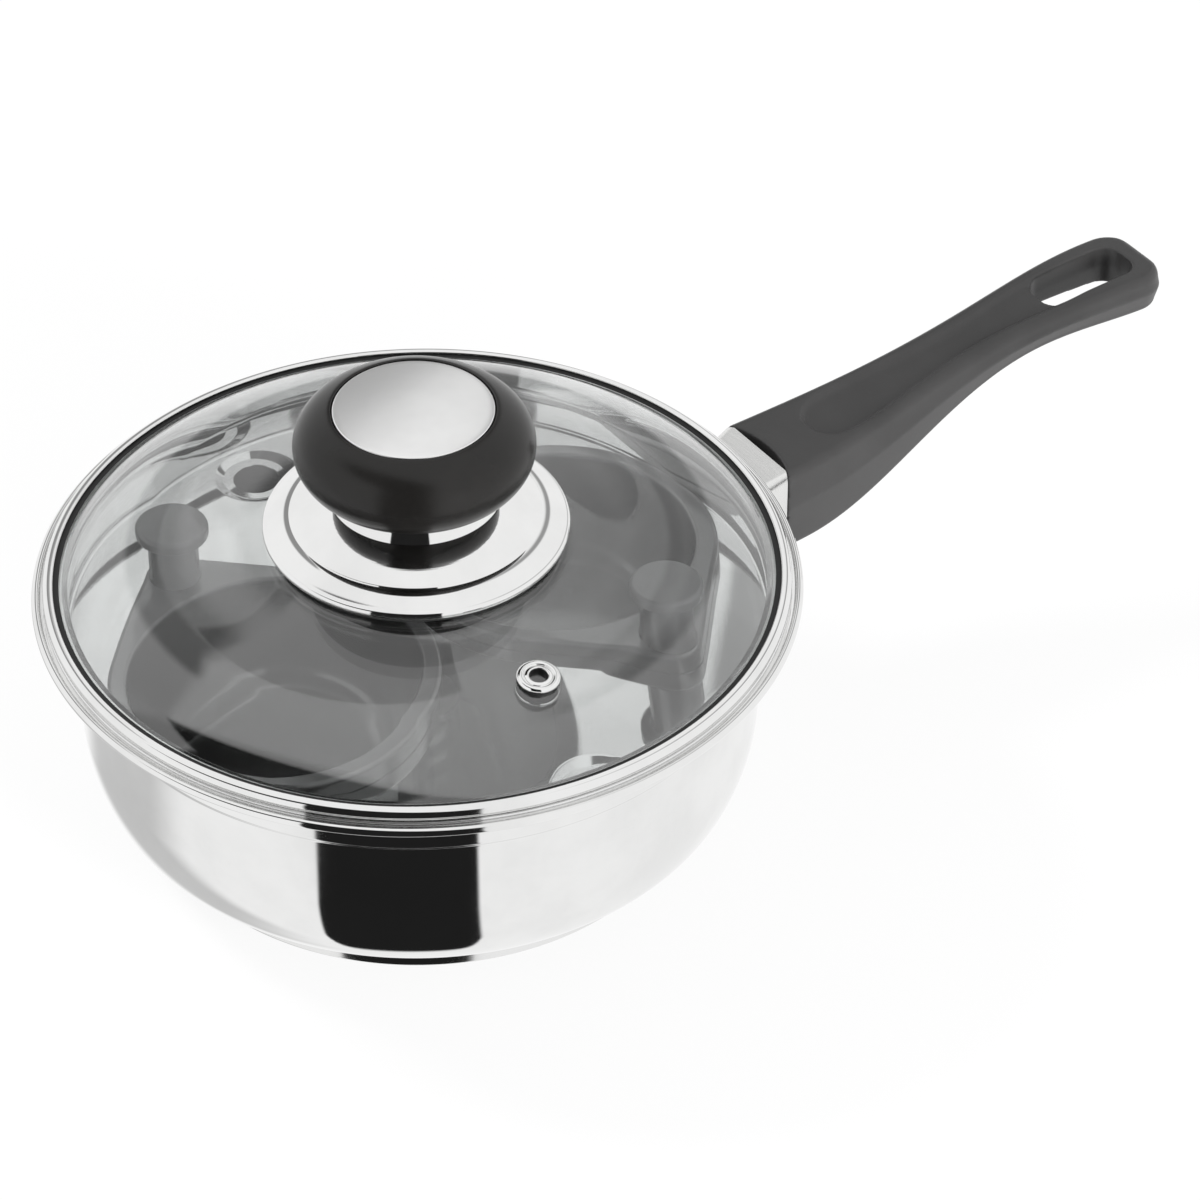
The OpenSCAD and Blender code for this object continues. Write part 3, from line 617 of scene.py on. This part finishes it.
# Lifting pegs
# A slim phenolic peg with a flat cap stands on each cup's lug, for lifting the hot cup out. It is
# moulded in one piece and held by a screw from under the lug.
peg_r, peg_cap_r, peg_cap_h, peg_top = 5.9, 8.5, 3.0, 69.2
peg_round, peg_neck, peg_under_round = 1.1, 1.3, 0.6
peg_foot_w, peg_foot_h, peg_foot_slope = 0.25, 0.5, 0.4


def peg_profile():
    """Profile of a peg: a foot, a straight shaft, a neck under the cap and the cap's round edges."""
    under, foot_top = peg_top - peg_cap_h, flange_z + peg_foot_h
    foot_r, under_round = peg_r + peg_foot_w, peg_under_round
    return (
        [(0, flange_z), (foot_r, flange_z), (foot_r, foot_top), (peg_r, foot_top + peg_foot_slope)]
        + arc(peg_r + peg_neck, under - peg_neck, peg_neck, 180, 90, 8)
        + arc(peg_cap_r - under_round, under + under_round, under_round, -90, 0, 6)
        + arc(peg_cap_r - peg_round, peg_top - peg_round, peg_round, 0, 82, 8)
        + [(peg_cap_r - 2.4, peg_top - 0.05), (peg_cap_r - 3, peg_top - 0.12), (0, peg_top - 0.2)]
    )


coating = coated("non_stick_coating")
peg_resin = phenolic("peg_phenolic", (0.07, 0.07, 0.071), 0.15, 1.0)
for n, body in ((1, "first_cup"), (2, "second_cup")):
    cup = solid(f"cup_{n}_spinning", cup_rows())
    peg = lathe(f"cup_{n}_peg_moulding", peg_profile(), (0, -lug_y), turns=96)
    for piece, finish, node in ((cup, coating, f"cup_{n}"), (peg, peg_resin, f"cup_{n}_peg")):
        piece.data.transform(to_cup(n))
        dress(piece, finish)
        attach(piece, body)
        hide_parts(node)
    dress(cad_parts[f"cup_{n}_peg_screw"], satin)

# Lid glass
# A dome of clear tempered glass, pressed in one piece with its edge ground flat for the band. It
# has one hole for the knob's screw and one for the steam vent.
glass_top, glass_t, crown_r, crown_edge = 80, 4, 400, 64
shoulder_r, inner_r = 40, 65
crown_z = glass_top - crown_r
crown_a = degrees(asin(crown_edge / crown_r))
bend_x = (crown_r - shoulder_r) * sin(radians(crown_a))
bend_z = crown_z + (crown_r - shoulder_r) * cos(radians(crown_a))
inner_x = (crown_r - glass_t - inner_r) * sin(radians(crown_a))
inner_z = crown_z + (crown_r - glass_t - inner_r) * cos(radians(crown_a))
brim_low, brim_top, brim_r, brim_round = 64.38, 66.0, 86.6, 0.3
brim_fillet, seam_r, edge_h = 0.1, 83.5, 0.2
outer_a = degrees(acos((brim_top - bend_z) / shoulder_r))
inner_a = degrees(acos((brim_low - inner_z) / inner_r))
screw_hole = 2.8
screw_a = degrees(asin(screw_hole / crown_r))
swell_h, swell_from, swell_to = 4.0, 30, 62
glass_profile = (
    arc(0, crown_z, crown_r, 90 - screw_a, 90 - crown_a, 40)
    + arc(bend_x, bend_z, shoulder_r, 90 - crown_a, 90 - outer_a, 24)[1:-1]
    + [(bend_x + shoulder_r * sin(radians(outer_a)) + brim_fillet, brim_top), (seam_r, brim_top)]
    + arc(brim_r - brim_round, brim_top - brim_round, brim_round, 90, 0, 4)
    + arc(brim_r - brim_round, brim_low + brim_round, brim_round, 0, -90, 4)
    + arc(inner_x, inner_z, inner_r, 90 - inner_a, 90 - crown_a, 24)
    + arc(0, crown_z, crown_r - glass_t, 90 - crown_a, 90 - screw_a, 40)[1:]
)


def glass_paint(s):
    """Clear glass. The swell bends what its outer face mirrors, as the pressed dome's waves do."""
    place = s.place()
    smear = s.noise(place, 40, 3.0)
    x, y = s.make("ShaderNodeSeparateXYZ", {}, {0: place}, ("X", "Y"))
    swell = s.between((x * x + y * y) ** 0.5, swell_from * MM, swell_to * MM, 0.0, -swell_h * MM)
    return {
        "Base Color": (0.965, 0.98, 0.975, 1),
        "Roughness": s.between(smear, 0.5, 0.8, 0.0, 0.012),
        "IOR": 1.5,
        "Transmission Weight": 1.0,
        "Coat Weight": 1.0,
        "Coat Roughness": 0.0,
        "Coat IOR": 1.8,
        "Coat Normal": s.bump(swell, 1.0),
    }


def ground_paint(s):
    """The underside of the glass's edge, ground to a pale matt face."""
    place = s.place()
    grit = s.noise(place, 1800, 3.0)
    return {
        "Base Color": s.blend(grit, (0.62, 0.64, 0.63), (0.78, 0.80, 0.79)),
        "Roughness": 0.5 + 0.2 * grit,
        "Normal": s.bump(grit, 0.00002),
    }


def gap_shade_paint(s):
    """Painted shade: a dark ring on the glass under the band, standing in for the shadow in the gap
    between glass and band, seen as a thin line inside the band's lip.
    """
    place = s.place()
    grain = s.noise(place, 900, 3.0)
    return {
        "Base Color": s.blend(grain, (0.006, 0.006, 0.006), (0.012, 0.012, 0.012)),
        "Roughness": 0.5 + 0.2 * grain,
        "Normal": s.bump(grain, 0.00003),
    }


glass = lathe("lid_glass_dome", glass_profile, turns=288)
dress(glass, material("tempered_glass", glass_paint))
glass.data.materials.append(material("ground_edge", ground_paint))
glass.data.materials.append(material("band_gap_shade", gap_shade_paint))
ground, gap_shade = 1, 2
for face in glass.data.polygons:
    level, reach = face.center.z / MM, face.center.xy.length / MM
    if level < brim_low + edge_h:
        face.material_index = ground
    # The brim's top under the band gets the ring of painted shade.
    elif reach > seam_r:
        face.material_index = gap_shade
glass.visible_shadow = False
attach(glass, "lid")
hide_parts("lid_glass")

# Rim band
# A strip of polished steel, rolled round the glass and folded over its edge. Its broad lower leg
# rests flat on the tray's flange.
band_r, band_t, band_h, band_w, band_edge = 87.3, 0.6, 3.0, 2.5, 1.45
band_foot = 6.9
band_top = seat_z + band_h
band_lip = band_t / 2
band_x, low_bend_z, high_bend_z = band_r - band_edge, seat_z + band_edge, band_top - band_edge
band_profile = (
    arc(band_r - band_foot + band_lip, seat_z + band_lip, band_lip, 90, 270, 8)
    + arc(band_x, low_bend_z, band_edge, -90, 0, 10)
    + arc(band_x, high_bend_z, band_edge, 0, 90, 10)
    + arc(band_r - band_w + band_lip, band_top - band_lip, band_lip, 90, 270, 8)
    + arc(band_x, high_bend_z, band_edge - band_t, 90, 0, 5)
    + arc(band_x, low_bend_z, band_edge - band_t, 0, -90, 5)
)
band = lathe("rim_band_strip", band_profile, turns=320)
dress(band, polished)
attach(band, "lid")
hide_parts("lid_rim_band")

# Steam vent
# A steel eyelet is spread through a rubber sleeve in the glass, and lets the steam out. It
# stands square to the dome.
vent_reach, vent_angle = 59, -96
vent_bore, vent_tube, vent_flange = 2.1, 2.9, 5.0
eyelet_lip, sleeve_t, sleeve_lip = 0.9, 0.9, 0.5
bore_round, bore_margin, rim_round, curl_r = 0.35, 0.1, 0.25, 0.4
groove_in, groove_r, groove_down = 1.25, 0.3, 0.15
crest_r, crest_in, crest_up = 0.8, 1.0, 0.1
slack, sleeve_gap, sleeve_cut = 0.05, 0.1, 0.2
vent_tilt = asin(vent_reach / crown_r)
vent_place = (
    Matrix.Rotation(radians(vent_angle), 4, "Z") @ Matrix.Translation((0, 0, crown_z * MM))
    @ Matrix.Rotation(vent_tilt, 4, "Y") @ Matrix.Translation((0, 0, crown_r * MM))
)
over, under = sleeve_lip + slack, -glass_t - sleeve_lip - slack
eyelet_top = over + eyelet_lip
eyelet_profile = (
    arc(vent_bore + bore_round, eyelet_top - bore_round, bore_round, 180, 60, 6)
    + arc(vent_bore + groove_in, eyelet_top - groove_down, groove_r, 200, 340, 6)
    + arc(vent_flange - crest_in, over + crest_up, crest_r, 120, 20, 8)
    + arc(vent_flange - rim_round, over + rim_round, rim_round, 30, -90, 5)
    + [(vent_tube, over), (vent_tube, under)]
    + arc(vent_flange - curl_r, under - eyelet_lip / 2, eyelet_lip / 2, 90, -90, 8)
    + arc(vent_bore + curl_r, under - eyelet_lip + curl_r, curl_r, 270, 180, 5)
)
eyelet = lathe("vent_eyelet", eyelet_profile, turns=96)
bore_reach = (vent_bore + bore_margin) * MM
bore_faces = [face.index for face in eyelet.data.polygons if face.center.xy.length < bore_reach]
sleeve_in, sleeve_mid, sleeve_out = vent_tube + slack, vent_tube + sleeve_t, vent_flange - sleeve_gap
sleeve_profile = [
    (sleeve_in, -glass_t - sleeve_lip), (sleeve_out, -glass_t - sleeve_lip),
    (sleeve_out, -glass_t - sleeve_gap), (sleeve_mid, -glass_t - sleeve_gap), (sleeve_mid, sleeve_gap),
    (vent_flange - sleeve_cut, sleeve_gap), (sleeve_out, sleeve_cut),
    (sleeve_out, sleeve_lip), (sleeve_in, sleeve_lip),
]
sleeve = lathe("vent_sleeve", sleeve_profile, turns=96)


def rubber_paint(s):
    """Black silicone rubber with a faint bloom."""
    place = s.place()
    bloom = s.noise(place, 700, 3.0)
    return {
        "Base Color": s.blend(bloom, (0.012, 0.012, 0.012), (0.03, 0.03, 0.03)),
        "Roughness": 0.45 + 0.2 * bloom,
        "Normal": s.bump(bloom, 0.00005),
    }


rubber = material("silicone_rubber", rubber_paint)
for piece, finish, node, slot in ((eyelet, polished, "steam_vent_eyelet", "polished_steel"),
                                  (sleeve, rubber, "steam_vent_gasket", "rubber")):
    piece.data.transform(vent_place)
    dress(piece, finish)
    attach(piece, "lid")
    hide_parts(node)
# Painted shade: the bore's faces get a dark, rough steel for the shade inside the narrow bore.
eyelet.data.materials.append(steel("vent_bore", (0.10, 0.10, 0.10), 0.5, 0.1))
for index in bore_faces:
    eyelet.data.polygons[index].material_index = 1

# Knob skirt
# A bell of polished steel stands on the glass on a rubber ring and carries the knob. It is spun,
# with a short steep neck, a crease round its foot and a rolled edge, and left dull inside.
skirt_t, skirt_z, knob_z = 0.8, 79.17, 91.07
neck_r, neck_h, neck_spread, neck_fillet = 18.5, 2.3, 1.2, 0.3
bell_r, bell_top, bell_low = 31.8, 21, 30
crease_r, crease_drop = 29.2, 0.35
crease_lip, crease_foot, crease_wall = 0.55, 0.3, 0.1
foot_steps, foot_bend = 14, 1.5
roll_mid, skirt_roll, dull_from = 34.6, 1.1, 0.6
seal_in, seal_out, seal_low, seal_round = 30.5, 35.0, 78.6, 0.15
neck_foot_r = neck_r + neck_spread + neck_fillet


def bell(inset, steps=30):
    """The bell's curve and the straight slope below it, from the neck down to the crease."""
    middle_x = neck_foot_r - bell_r * sin(radians(bell_top))
    middle_z = knob_z - neck_h - bell_r * cos(radians(bell_top))
    curve = arc(middle_x, middle_z, bell_r - inset, 90 - bell_top, 90 - bell_low, steps)
    x, z = curve[-1]
    end = crease_r - inset * sin(radians(bell_low))
    return curve + [(end, z - (end - x) * tan(radians(bell_low)))]


crease_z = bell(0)[-1][1] - crease_drop
foot_h = crease_z - skirt_z - 2 * skirt_roll
foot_x = crease_r + crease_lip
parts = [i / foot_steps for i in range(foot_steps + 1)]
foot = [(foot_x + (roll_mid - foot_x) * t, crease_z - foot_h * t ** foot_bend) for t in parts]
crease = [(crease_r + crease_foot, crease_z + 0.02),
          (crease_r + crease_wall, crease_z + crease_drop - 0.12)]
skirt_outside = (
    arc(roll_mid, skirt_z + skirt_roll, skirt_roll, -200, 62, 40)
    + foot[::-1]
    + crease
    + bell(0)[::-1]
    + arc(neck_foot_r, knob_z - neck_h + neck_fillet, neck_fillet, -90, -150, 5)
    + [(neck_r, knob_z), (0, knob_z)]
)
skirt_inside = (
    [(0, knob_z - skirt_t), (neck_r - skirt_t, knob_z - skirt_t)]
    + [(neck_r - skirt_t, bell(skirt_t)[0][1] + neck_fillet)]
    + bell(skirt_t)
    + [(x, z - skirt_t) for x, z in foot[1:-3]]
)
skirt = lathe("knob_skirt_bell", skirt_outside + skirt_inside, turns=256)
skirt_steel = steel("skirt_steel", (0.87, 0.87, 0.865), 0.03, 0.03)
dull_steel = steel("skirt_inside", (0.42, 0.42, 0.42), 0.45, 0.10)
dress(skirt, skirt_steel)
skirt.data.materials.append(dull_steel)
inside_r = (roll_mid - dull_from) * MM
for face in skirt.data.polygons:
    face.material_index = int(face.normal.z < -0.05 and face.center.xy.length < inside_r)
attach(skirt, "lid")
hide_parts("knob_skirt")

seal_profile = [
    (seal_in, seal_low + seal_round), (seal_out - 2 * seal_round, seal_low),
    (seal_out, seal_low + seal_round), (seal_out, skirt_z - 0.1), (seal_out - 0.1, skirt_z),
    (seal_in, skirt_z),
]
seal = lathe("skirt_seal", seal_profile, turns=224)
dress(seal, rubber)
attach(seal, "lid")
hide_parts("knob_seal_upper")

# Knob
# A turned ring of dark phenolic resin, glossy from the mould, with a steel disc set in its top.
# A brass insert is moulded in below, and one screw from under the glass clamps the whole knob.
knob_foot_r, knob_bulge, knob_wide_z, knob_half_h, knob_h = 12, 16, 102.87, 11.31, 21.8
disc_r, disc_gap, disc_t, disc_rise, disc_edge = 18.7, 0.3, 1.6, 1.2, 0.35
recess_r, recess_soft, recess_flat = disc_r + disc_gap, 0.1, 0.25
disc_z = knob_z + knob_h
soft_z = disc_z - 0.15
low_turn, high_turn = -pi / 2, asin((soft_z - knob_wide_z) / knob_half_h)
turns = [low_turn + (high_turn - low_turn) * i / 60 for i in range(61)]
knob_side = [(knob_foot_r + knob_bulge * cos(a), knob_wide_z + knob_half_h * sin(a)) for a in turns]
knob_profile = (
    [(0, knob_z), (knob_foot_r, knob_z)]
    + knob_side
    + [(recess_r + recess_flat, disc_z), (recess_r + recess_soft, disc_z), (recess_r, soft_z)]
    + [(recess_r, disc_z - disc_t), (0, disc_z - disc_t)]
)
knob = lathe("knob_turning", knob_profile, turns=224)
dress(knob, phenolic("knob_phenolic", (0.009, 0.0085, 0.008), 0.15, 0.30))
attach(knob, "lid")
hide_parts("knob_body")

crown = [(disc_r - disc_edge) * (1 - i / 30) for i in range(31)]
disc_profile = (
    [(0, disc_z - disc_t), (disc_r, disc_z - disc_t)]
    + arc(disc_r - disc_edge, disc_z - disc_edge, disc_edge, 0, 80, 6)
    + [(x, disc_z + disc_rise * (1 - (x / disc_r) ** 2)) for x in crown[1:]]
)
disc = lathe("knob_disc_inlay", disc_profile, turns=192)
dress(disc, steel("disc_steel", (0.93, 0.93, 0.925), 0.26, 0.05))
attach(disc, "lid")
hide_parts("knob_disc")


def brass_paint(s):
    """Turned brass, slightly tarnished."""
    place = s.place()
    tarnish = s.noise(place, 500, 3.0)
    return {
        "Base Color": s.blend(tarnish, (0.72, 0.53, 0.24), (0.55, 0.38, 0.15)),
        "Metallic": 1.0,
        "Roughness": 0.22 + 0.15 * tarnish,
        "Normal": s.bump(tarnish, 0.00002),
    }


dress(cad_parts["knob_insert"], material("turned_brass", brass_paint))
for node in ("knob_screw", "knob_washer"):
    dress(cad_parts[node], satin)
dress(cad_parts["knob_seal_lower"], rubber)

# Studio
# White tent light: metal and glass see a bright room with a dark panel behind the camera, and the
# plastic is lit softly from the left and above. The floor is white and keeps a faint shadow.
view_turn, view_climb = radians(35), radians(38.8)
right = Vector((cos(view_turn), -sin(view_turn), 0))
toward = Vector((-sin(view_turn), -cos(view_turn), 0))


def room_paint(s, through):
    """Brightness of the room. Each direction is told by the slope of the metal that shows it in
    the photo, and light that comes through the glass sees the panel a little wider."""
    look = s.make("ShaderNodeTexCoord", {}, {}, "Generated")
    view = toward * cos(view_climb) + Vector((0, 0, sin(view_climb)))
    half = s.make("ShaderNodeVectorMath", {"operation": "ADD"}, {0: look, 1: view}, "Vector")
    slope = s.make("ShaderNodeVectorMath", {"operation": "NORMALIZE"}, {0: half}, "Vector")

    def along(vector, way):
        return s.make("ShaderNodeVectorMath", {"operation": "DOT_PRODUCT"}, {0: vector, 1: way}, "Value")

    def above(value, limit, soft):
        return s.between(value, limit - soft, limit + soft)

    def span(value, low, high, soft):
        return above(value, low, soft) * (1 - above(value, high, soft))

    across, near = along(slope, right), along(slope, toward)
    up = s.make("ShaderNodeSeparateXYZ", {}, {0: slope}, "Z")
    turn = s.maths("ARCTAN2", across, near)
    climb = s.maths("ARCSINE", s.make("ShaderNodeSeparateXYZ", {}, {0: look}, "Z"))
    bearing = s.maths("ARCTAN2", along(look, right), along(look, toward))

    # The panel's foot stands across these turns of a wall, and its top reaches over the pan.
    foot_left, foot_right = radians(-16.9), radians(9.9)
    middle, half_width = (foot_left + foot_right) / 2, (foot_right - foot_left) / 2
    upright = span(turn, foot_left, foot_right, 0.006)
    corner = (s.maths("ABSOLUTE", turn - middle) / half_width) ** 8
    low_limit = 0.12 * s.maths("MINIMUM", corner, 1) - 0.43
    overhead = above(climb, radians(46), 0.02) * (1 - above(bearing, radians(18.5), 0.02))
    panel = s.maths("MAXIMUM", upright, overhead)
    panel = panel * above(near - 0.54 * across + 0.3 * through, 0.617, 0.012)
    panel = panel * above(up - low_limit, 0, 0.015)

    # Flat metal and glass see a dim far corner, a dim right side, and the tent's left edge.
    level = above(up, 0.95, 0.01)
    dim = (1 - above(near + 1.28 * across, -0.10, 0.015)) * level
    right_side = s.between(across, 0.06, 0.20) * level
    left_edge = span(bearing, radians(-150), radians(-95), 0.2)
    left_edge = left_edge * span(climb, radians(-70), radians(-20), 0.14)
    open_room, panel_dark = 0.97, 0.985
    dim_dark, right_dark, left_dark = 0.67, 0.62, 0.35
    room = open_room - dim_dark * dim - right_dark * right_side - left_dark * left_edge
    return room * (1 - panel_dark * panel)


world = bpy.data.worlds.new("studio")
bpy.context.scene.world = world
world.use_nodes = True
world.node_tree.nodes.clear()
sky = Socket(world.node_tree)
ways = ("Is Glossy Ray", "Is Transmission Ray", "Is Diffuse Ray")
glossy, through, diffuse = sky.make("ShaderNodeLightPath", {}, {}, ways)
mirrored = sky.maths("MAXIMUM", glossy, through)
ambient = 0.62
strength = 1 + mirrored * (room_paint(sky, through) - 1) + diffuse * (1 - mirrored) * (ambient - 1)
lit = sky.make("ShaderNodeBackground", {}, {"Color": (1, 1, 1, 1), "Strength": strength})
sky.make("ShaderNodeOutputWorld", {}, {"Surface": lit}, ())


def floor_paint(s):
    """A matt white sweep that keeps a faint shadow and otherwise burns out to white."""
    glow = 0.86
    matt = s.make("ShaderNodeBsdfDiffuse", {}, {"Color": (0.93, 0.93, 0.93, 1)})
    white = s.make("ShaderNodeEmission", {}, {"Color": (1, 1, 1, 1), "Strength": 1.0})
    camera, through = s.make("ShaderNodeLightPath", {}, {}, ("Is Camera Ray", "Is Transmission Ray"))
    seen = s.maths("MAXIMUM", camera, through)
    return s.make("ShaderNodeMixShader", {}, {0: seen * glow, 1: matt, 2: white})


floor_size, floor_drop = 6, 0.2 * MM
bpy.ops.mesh.primitive_plane_add(size=floor_size, location=(0, 0, -floor_drop))
floor = bpy.context.object
floor.name = "floor"
dress(floor, material("white_floor", floor_paint))
floor.visible_glossy = False


def lamp(name, across, away, up, size, power):
    """A soft area lamp, placed as the camera sees it and aimed at the pan. Metal doesn't mirror it."""
    light = bpy.data.lights.new(name, "AREA")
    light.shape, light.size, light.energy = "DISK", size, power
    holder = bpy.data.objects.new(name, light)
    bpy.context.scene.collection.objects.link(holder)
    holder.location = right * across - toward * away + Vector((0, 0, up))
    pan_middle = Vector((0.04, 0, 0.05))
    aim = pan_middle - holder.location
    holder.rotation_euler = aim.to_track_quat("-Z", "Y").to_euler()
    holder.visible_glossy = holder.visible_transmission = False


lamp("key", across=-0.9, away=0.45, up=0.9, size=0.35, power=9)
lamp("fill", across=0.9, away=-1.0, up=0.35, size=0.5, power=24)

# Camera
# The photograph's own view, found by fitting its circles: a long lens from the left of the
# handle, looking down at about 39 degrees.
camera = bpy.data.cameras.new("photo_view")
camera.lens, camera.sensor_width = 168.8, 36
camera.clip_end = 20
eye = bpy.data.objects.new("photo_view", camera)
bpy.context.scene.collection.objects.link(eye)
eye.location = (-0.5540, -0.8653, 0.8821)
eye.rotation_euler = (radians(51.21), 0, -view_turn)
bpy.context.scene.camera = eye
bpy.context.scene.view_settings.view_transform = "Standard"
